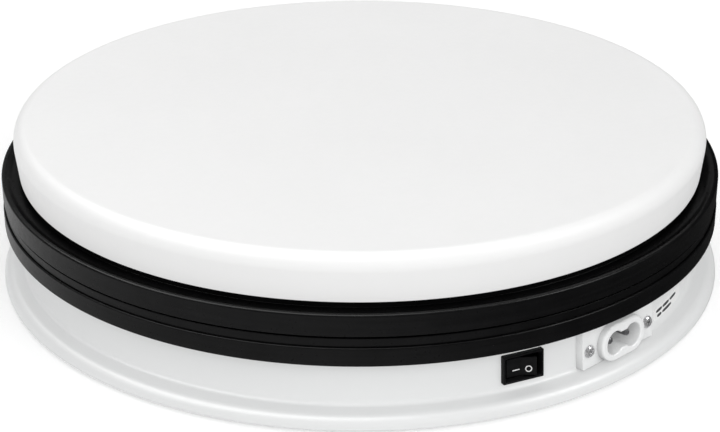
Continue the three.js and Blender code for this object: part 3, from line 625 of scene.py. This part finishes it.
def deck():
    collar = DECK_RADIUS - 0.7
    step = STEP_HEIGHT
    lip = DUST_LIP_RADIUS
    outline = rounded(
        [
            (SPINDLE_BORE, 24),
            (HUB_RADIUS, 24, 0.5),
            (HUB_RADIUS, DECK_UNDERSIDE, 1.0),
            (DECK_RADIUS - SKIRT_WALL, DECK_UNDERSIDE, 0.8),
            (DECK_RADIUS - SKIRT_WALL, DECK_SKIRT_BOTTOM, 0.4),
            (DECK_RADIUS, DECK_SKIRT_BOTTOM, 0.5),
            (DECK_RADIUS, step - 0.1, 0.5),
            (collar - 0.25, step - 0.1, 0.1),
            (collar - 0.25, step + 0.25, 0.1),
            (collar, step + 0.3, 0.05),
            (collar, COLLAR_TOP, 0.25),
            (lip, COLLAR_TOP, 0.3),
            (lip, DUST_LIP_TOP, 0.4),
            (lip - DUST_LIP_WALL, DUST_LIP_TOP, 0.4),
            (lip - DUST_LIP_WALL, DECK_TOP, 0.3),
            (HUB_RADIUS, DECK_TOP, 0.8),
            (HUB_RADIUS, 35, 0.4),
            (SPINDLE_BORE, 35),
        ]
    )
    body = revolve("deck_shell", outline)
    pockets = [
        block("pocket", (11, 8, 10), (0, 0, DECK_TOP), around(ROLLER_CIRCLE, a))
        for a in FOOT_AZIMUTHS
    ]
    posts = [
        block("post", (6, 2.6, 5), (0, y, 33.7), around(ROLLER_CIRCLE, a))
        for a in FOOT_AZIMUTHS
        for y in (-5.4, 5.4)
    ]
    for post in posts:
        boolean(body, post, "UNION")
    r = MOTOR_HOLE_RADIUS
    fillet = r - 0.01
    circle = rounded([(-r, -r, fillet), (r, -r, fillet), (r, r, fillet), (-r, r, fillet)])
    motor_hole = prism(
        "motor_hole", circle, 25, 36, Matrix.Translation((0, MOTOR_DISTANCE * MM, 0))
    )
    cut(body, *pockets, motor_hole)
    return place(body, "base", MATERIALS["black_satin"], "black_satin", "deck")


# ---------------------------------------------------------------- base


def base_shell():
    ledge = PLATE_TOP + 0.2
    inner = PLATE_RADIUS + 0.3
    wall_top = wall_radius(BASE_TOP)
    outline = rounded(
        [
            (inner, BASE_FOOT, 0.2),
            (BASE_RADIUS, BASE_FOOT, 0.3),
            (BASE_RADIUS, FLANGE_TOP, FLANGE_EDGE),
            (WALL_FOOT_RADIUS, WALL_FOOT_HEIGHT, 1.8),
            (wall_top, BASE_TOP, 0.4),
            (wall_top - WALL_THICKNESS, BASE_TOP, 0.4),
            (wall_radius(ledge) - 3.4, ledge, 0.4),
            (inner, ledge),
        ]
    )
    shell = revolve("base_shell_body", outline)
    inlet = wall_frame(*INLET_PLACE)
    switch = wall_frame(*SWITCH_PLACE)
    low, high, back = -6.4, 10.0, -1.3
    recess = block("recess", (35.9, high - low, 20), (0, (low + high) / 2, back + 10), inlet)
    through = block("through", (23, 13, 40), (0, 0, 0), inlet)
    opening = block("opening", SWITCH_OPENING, (0, 0, 0), switch)
    cut(shell, recess, through, opening)
    return place(shell, "base", MATERIALS["base_white"], "base_white", "base_shell")


def bottom_plate():
    outline = rounded(
        [
            (0, PLATE_BOTTOM),
            (PLATE_RADIUS, PLATE_BOTTOM, 0.5),
            (PLATE_RADIUS, PLATE_TOP, 0.2),
            (0, PLATE_TOP),
        ]
    )
    plate = revolve("bottom_plate_sheet", outline, closed=False)
    for i in range(7):
        ring = [
            rectangle(2.2, 34, 1.05, z, steps=4) for z in (PLATE_BOTTOM - 2, PLATE_TOP + 2)
        ]
        centre = Vector(((i - 3) * 6 * MM, MOTOR_DISTANCE * MM, 0))
        cut(plate, loft("vent", ring, Matrix.Translation(centre)))
    for azimuth in BOSS_AZIMUTHS:
        outline = [(0, -1), (3.3, -1), (3.3, 0), (1.5, 1.8), (1.5, 4), (0, 4)]
        sink = revolve("sink", outline, closed=False, segments=SMALL_SEGMENTS)
        sink.data.transform(around(BOSS_CIRCLE, azimuth, PLATE_BOTTOM))
        cut(plate, sink)
    return place(plate, "base", MATERIALS["base_white"], "base_white", "bottom_plate")


def rubber_feet():
    for i, azimuth in enumerate(FOOT_AZIMUTHS, 1):
        outline = rounded(
            [
                (0, 0.25),
                (3.2, 0.25, 0.3),
                (3.7, 0, 0.3),
                (7, 0, 0.6),
                (7, 1.5, 0.15),
                (2.4, 1.5),
                (2.4, PLATE_TOP + 0.1),
                (3.2, PLATE_TOP + 0.1, 0.2),
                (1.4, PLATE_TOP + 1.5, 0.4),
                (0, PLATE_TOP + 1.5),
            ],
            steps=4,
        )
        foot = revolve(f"foot_pad_{i}", outline, closed=False, segments=SMALL_SEGMENTS)
        foot.data.transform(around(FOOT_CIRCLE, azimuth))
        place(foot, "base", MATERIALS["rubber"], "rubber", f"rubber_foot_{i}")


# ---------------------------------------------------------------- screws


def cross_recess(radius, floor, top, matrix):
    """The cutter of a cross recess, which narrows towards its floor."""
    arms = []
    for turn in (0, math.pi / 2):
        spin = Matrix.Rotation(turn, 4, "Z")
        rings = [
            rectangle(radius * 1.1, radius * 0.26, 0.02, floor, steps=1),
            rectangle(radius * 1.5, radius * 0.34, 0.02, top, steps=1),
        ]
        arms.append(loft("arm", rings, matrix @ spin))
    return arms


def pan_screw(name, matrix, shank, length, head, head_height):
    """A pan-head screw that points down its matrix's -Z, with the head's underside at z = 0."""
    outline = rounded(
        [
            (0, head_height),
            (head * 0.72, head_height, head * 0.4),
            (head, head_height * 0.35, head * 0.2),
            (head, 0),
            (shank, 0),
            (shank, -length + shank),
            (0, -length),
        ],
        steps=5,
    )
    screw = revolve(name, outline, closed=False, segments=SMALL_SEGMENTS)
    screw.data.transform(matrix)
    return cut(screw, *cross_recess(head, head_height * 0.25, head_height + 0.5, matrix))


def countersunk_screw(name, matrix, shank, length, head):
    """A countersunk screw that points down its matrix's -Z, with its flat head at z = 0."""
    outline = rounded(
        [
            (0, 0),
            (head, 0, 0.1),
            (shank, -(head - shank), 0.2),
            (shank, -length + shank),
            (0, -length),
        ],
        steps=3,
    )
    screw = revolve(name, outline, closed=False, segments=SMALL_SEGMENTS)
    screw.data.transform(matrix)
    return cut(screw, *cross_recess(head * 0.85, -1.2, 0.5, matrix))


def plate_screws():
    flip = Matrix.Rotation(math.pi, 4, "X")
    for i, azimuth in enumerate(BOSS_AZIMUTHS, 1):
        matrix = around(BOSS_CIRCLE, azimuth, PLATE_BOTTOM + 0.05) @ flip
        screw = countersunk_screw(f"plate_screw_head_{i}", matrix, 1.2, 10, 3)
        place(screw, "base", MATERIALS["zinc_steel"], "zinc_steel", f"plate_screw_{i}")


# ---------------------------------------------------------------- switch

BEZEL = (14.7, 9.8)
SWITCH_OPENING = (13.4, 9.2, 20)
BEZEL_RISE = 0.22  # of the bezel's middle over the pocket's
POCKET = (11.9, 6.8, -4.9)


def switch_housing():
    width, height = BEZEL
    pocket_width, pocket_height, floor = POCKET
    rings = [
        rectangle(13, 9, 0.5, -12),
        rectangle(13, 9, 0.5, -0.05),
        rectangle(width, height, 0.35, -0.05, BEZEL_RISE),
        rectangle(width, height, 0.35, 1.4, BEZEL_RISE),
        rectangle(width - 0.08, height - 0.08, 0.34, 1.57, BEZEL_RISE),
        rectangle(width - 0.3, height - 0.3, 0.3, 1.68, BEZEL_RISE),
        rectangle(width - 0.7, height - 0.7, 0.28, 1.7, BEZEL_RISE),
        rectangle(width - 1.15, height - 1.15, 0.28, 1.68, BEZEL_RISE),
        rectangle(width - 1.4, height - 1.4, 0.28, 1.55, BEZEL_RISE),
        rectangle(pocket_width + 0.35, pocket_height + 0.35, 0.3, 0.55),
        rectangle(pocket_width, pocket_height, 0.25, 0.3),
        rectangle(pocket_width, pocket_height, 0.25, floor),
    ]
    housing = loft("switch_frame", rings, wall_frame(*SWITCH_PLACE))
    return place(housing, "base", MATERIALS["switch_black"], "switch_black", "switch_housing")


def rocker_frame():
    """The rocker's own frame: its origin on the pivot, tilted as at rest."""
    pivot = Matrix.Translation((0, 0, ROCKER_PIVOT_DEPTH * MM))
    tilt = Matrix.Rotation(math.radians(ROCKER_TILT), 4, "Y")
    return wall_frame(*SWITCH_PLACE) @ pivot @ tilt


ROCKER_HALF = 5.2
ROCKER_EDGE = 3.2  # height of the rocker's ends above its pivot
ROCKER_VALLEY = 2.1
ROCKER_SHOULDER = 1.4


def rocker():
    outline = rounded(
        [
            (-ROCKER_HALF, ROCKER_EDGE, 0.35),
            (-ROCKER_HALF, ROCKER_SHOULDER, 0.6),
            (-2.4, -1.3, 0.8),
            (2.4, -1.3, 0.8),
            (ROCKER_HALF, ROCKER_SHOULDER, 0.6),
            (ROCKER_HALF, ROCKER_EDGE, 0.35),
            (0, ROCKER_VALLEY, 4.0),
        ]
    )
    upright = Matrix.Rotation(math.pi / 2, 4, "X")
    piece = prism("rocker_paddle", outline, -3.2, 3.2, rocker_frame() @ upright)
    soften(piece, 0.16, 3)
    return place(piece, "rocker", MATERIALS["switch_black"], "switch_black", "switch_rocker")


def rocker_marks():
    """A bar on one half of the rocker and a ring on the other, as raised ink."""
    slope = math.atan((ROCKER_EDGE - ROCKER_VALLEY) / ROCKER_HALF)

    def on_half(x, y):
        z = ROCKER_VALLEY + abs(x) * math.tan(slope)
        lean = Matrix.Rotation(-math.copysign(slope, x), 4, "Y")
        return rocker_frame() @ Matrix.Translation(Vector((x, y, z)) * MM) @ lean

    bar = loft("mark_on", [rectangle(2.7, 0.34, 0.1, z, steps=3) for z in (-0.05, 0.03)])
    bar.data.transform(on_half(-1.6, -0.95))
    place(bar, "rocker", INK, "switch_black")
    outline = [(0.8, -0.05), (1.12, -0.05), (1.12, 0.03), (0.8, 0.03)]
    ring = revolve("mark_off", outline, segments=SMALL_SEGMENTS)
    ring.data.transform(on_half(2.55, -0.95))
    place(ring, "rocker", INK, "switch_black")


# ---------------------------------------------------------------- inlet

PIN_PITCH = 8.6
LOBE = 4.1
WAIST = 2.9
COLLAR_WALL = 2.4
COLLAR_PROUD = 4.5
FLANGE_WIDTH = 35.5
PIN_RADIUS = 1.2
PIN_TIP = 2.6
PIN_TAIL = 19
FLANGE_SCREW_OFFSET = 14.75


def inlet_housing():
    matrix = wall_frame(*INLET_PLACE)
    low, high, back, front = -6.2, 9.8, -1.1, 1.8
    centre = (low + high) / 2
    wide = FLANGE_WIDTH
    tall = high - low
    edge = 0.25
    flange = loft(
        "inlet_flange",
        [
            rectangle(wide, tall, 0.5, back, centre),
            rectangle(wide, tall, 0.5, front - edge, centre),
            rectangle(wide - edge * 0.6, tall - edge * 0.6, 0.45, front - edge * 0.3, centre),
            rectangle(wide - edge * 2, tall - edge * 2, 0.3, front, centre),
        ],
        matrix,
    )

    def oval(margin, z):
        return figure_eight(LOBE + margin, LOBE + margin, PIN_PITCH, z)

    def eight(margin, z):
        return figure_eight(LOBE + margin, WAIST + margin, PIN_PITCH, z)

    rim = 0.9
    quarter = [math.pi / 2 * k / 5 for k in range(6)]
    rounding = [
        oval(COLLAR_WALL - rim * (1 - math.cos(a)), COLLAR_PROUD - rim * (1 - math.sin(a)))
        for a in quarter
    ]
    collar = loft(
        "inlet_collar",
        [oval(1.6, -14), oval(1.6, 0.5), oval(COLLAR_WALL, 0.5), *rounding],
        matrix,
    )
    mouth = 0.5
    flare = [
        eight(mouth * (1 - math.cos(a)), COLLAR_PROUD - mouth * (1 - math.sin(a)))
        for a in quarter
    ]
    cavity = loft(
        "inlet_cavity", [eight(0, -9), *flare, eight(mouth, COLLAR_PROUD + 1)], matrix
    )
    housing = cut(boolean(flange, collar, "UNION"), cavity)
    housing.name = "inlet_body"
    return place(housing, "base", MATERIALS["inlet_white"], "inlet_white", "inlet_housing")


def inlet_fittings():
    matrix = wall_frame(*INLET_PLACE)
    for i, side in enumerate((-1, 1), 1):
        outline = rounded(
            [
                (0, -PIN_TAIL),
                (PIN_RADIUS, -PIN_TAIL, 0.3),
                (PIN_RADIUS, PIN_TIP, 1.0),
                (0, PIN_TIP),
            ],
            steps=6,
        )
        pin = revolve(f"contact_pin_{i}", outline, closed=False, segments=SMALL_SEGMENTS)
        pin.data.transform(matrix @ Matrix.Translation((side * PIN_PITCH / 2 * MM, 0, 0)))
        place(pin, "base", PIN_METAL, "steel", f"inlet_pin_{i}")
        at = matrix @ Matrix.Translation(Vector((side * FLANGE_SCREW_OFFSET, 0, 1.85)) * MM)
        turn = Matrix.Rotation(math.radians(35 * i), 4, "Z")
        screw = pan_screw(f"flange_screw_{i}", at @ turn, 1.1, 7, 2.1, 1.1)
        place(screw, "base", MATERIALS["zinc_steel"], "zinc_steel", f"inlet_screw_{i}")


def rating_label():
    """A film label that follows the wall, with two rows of plain printed blocks and no lettering."""
    azimuth, height = LABEL_PLACE
    width, tall, thickness = LABEL_SIZE
    base_radius = wall_radius(height)
    matrix = wall_frame(azimuth, height)

    def long_patch(name, size, centre, corner, low, high, pieces=10):
        """Several cross-sections along the wall, so that the patch bends with it."""
        w, h = size
        sections = []
        for k in range(pieces + 1):
            x = centre[0] - w / 2 + w * k / pieces
            angle = x / base_radius
            inset = corner if k in (0, pieces) else 0.0
            ring = []
            half = h / 2 - inset
            for reach, y in ((low, -half), (low, half), (high, half), (high, -half)):
                r = base_radius + reach
                out = r * math.cos(angle) - base_radius
                ring.append(Vector((r * math.sin(angle), y + centre[1], out)))
            sections.append(ring)
        return loft(name, sections, matrix)

    top = thickness
    label = long_patch("label_film", (width, tall), (0, 0), 0.4, -0.05, top)
    place(label, "base", MATERIALS["label_white"], "label_white", "rating_label")
    rows = (
        (0.95, ((-7.6, 4.4), (-2.1, 5.2), (4.2, 5.6))),
        (-0.95, ((-7.4, 3.2), (-1.2, 7.6))),
    )
    for row, (y, blocks) in enumerate(rows, 1):
        for i, (x, length) in enumerate(blocks, 1):
            name = f"label_block_{row}_{i}"
            bar = long_patch(name, (length, 1.1), (x, y), 0.2, top - 0.02, top + 0.03, 4)
            place(bar, "base", LABEL_INK, "label_white")


# ---------------------------------------------------------------- carried CAD nodes


def carry_nodes():
    """Materials for the CAD nodes that stay as they are."""
    slots = {row["node"]: row["material_slot"] for row in frame["record"]["subparts"]}
    for name, node in frame["nodes"].items():
        node.data.materials.clear()
        node.data.materials.append(MATERIALS[slots[name]])


# ---------------------------------------------------------------- stage

LIGHT_TARGET = (0, 0, 0.03)
FLOOR_LEVEL = -0.0002  # just under the feet, in m

def floor():
    bm = bmesh.new()
    half = 6.0
    corners = [(-half, -half), (half, -half), (half, half), (-half, half)]
    bm.faces.new([bm.verts.new((x, y, FLOOR_LEVEL)) for x, y in corners])
    plane = finish_mesh("floor", bm)
    plane.data.materials.append(pale_floor("pale_floor"))


def area_light(name, size, radiance, position, diffuse=True, glossy=True):
    """A rectangle that looks at the middle of the stand, as bright for any size."""
    light = bpy.data.lights.new(name, "AREA")
    light.shape = "RECTANGLE"
    light.size, light.size_y = size
    light.energy = 4 * size[0] * size[1] * radiance
    obj = bpy.data.objects.new(name, light)
    obj.location = position
    direction = Vector(LIGHT_TARGET) - Vector(position)
    obj.rotation_euler = direction.to_track_quat("-Z", "Y").to_euler()
    obj.visible_camera = False
    obj.visible_diffuse = diffuse
    obj.visible_glossy = glossy
    bpy.context.scene.collection.objects.link(obj)


def lighting():
    world = bpy.data.worlds.new("studio")
    world.use_nodes = True
    background = world.node_tree.nodes["Background"]
    background.inputs["Color"].default_value = (1, 1, 1, 1)
    background.inputs["Strength"].default_value = 0.8
    world.cycles_visibility.glossy = False
    bpy.context.scene.world = world
    area_light("front_fill", (3.4, 1.3), 2.05, (0.4, -1.95, 1.15), glossy=False)
    area_light("overhead_softbox", (2.2, 1.8), 4.5, (-0.45, 0.1, 1.5), diffuse=False)
    area_light("edge_light", (0.7, 0.7), 9.0, (1.3, -0.25, 1.4), diffuse=False)
    area_light("back_panel", (2.4, 0.8), 0.18, (-1.25, 2.0, 0.9), diffuse=False)


CAMERA_TARGET_HEIGHT = 0.0141
CAMERA_DISTANCE = 0.6855
CAMERA_ELEVATION = 25.06
CAMERA_ROLL = 0.14
CAMERA_LENS = 91.6


def camera():
    data = bpy.data.cameras.new("camera")
    data.lens = CAMERA_LENS
    data.sensor_width = 36
    obj = bpy.data.objects.new("camera", data)
    elevation = math.radians(CAMERA_ELEVATION)
    back = Vector((0, -math.cos(elevation), math.sin(elevation)))
    obj.location = Vector((0, 0, CAMERA_TARGET_HEIGHT)) + back * CAMERA_DISTANCE
    aim = (-back).to_track_quat("-Z", "Y").to_matrix().to_4x4()
    roll = Matrix.Rotation(math.radians(-CAMERA_ROLL), 4, "Z")
    obj.rotation_euler = (aim @ roll).to_euler()
    bpy.context.scene.collection.objects.link(obj)
    bpy.context.scene.camera = obj


def colour_management():
    view = bpy.context.scene.view_settings
    view.view_transform = "Standard"
    view.look = "None"
    view.exposure = 0.0


carry_nodes()
top_disc()
platter()
deck()
base_shell()
bottom_plate()
rubber_feet()
plate_screws()
switch_housing()
rocker()
rocker_marks()
inlet_housing()
inlet_fittings()
rating_label()
floor()
lighting()
camera()
colour_management()
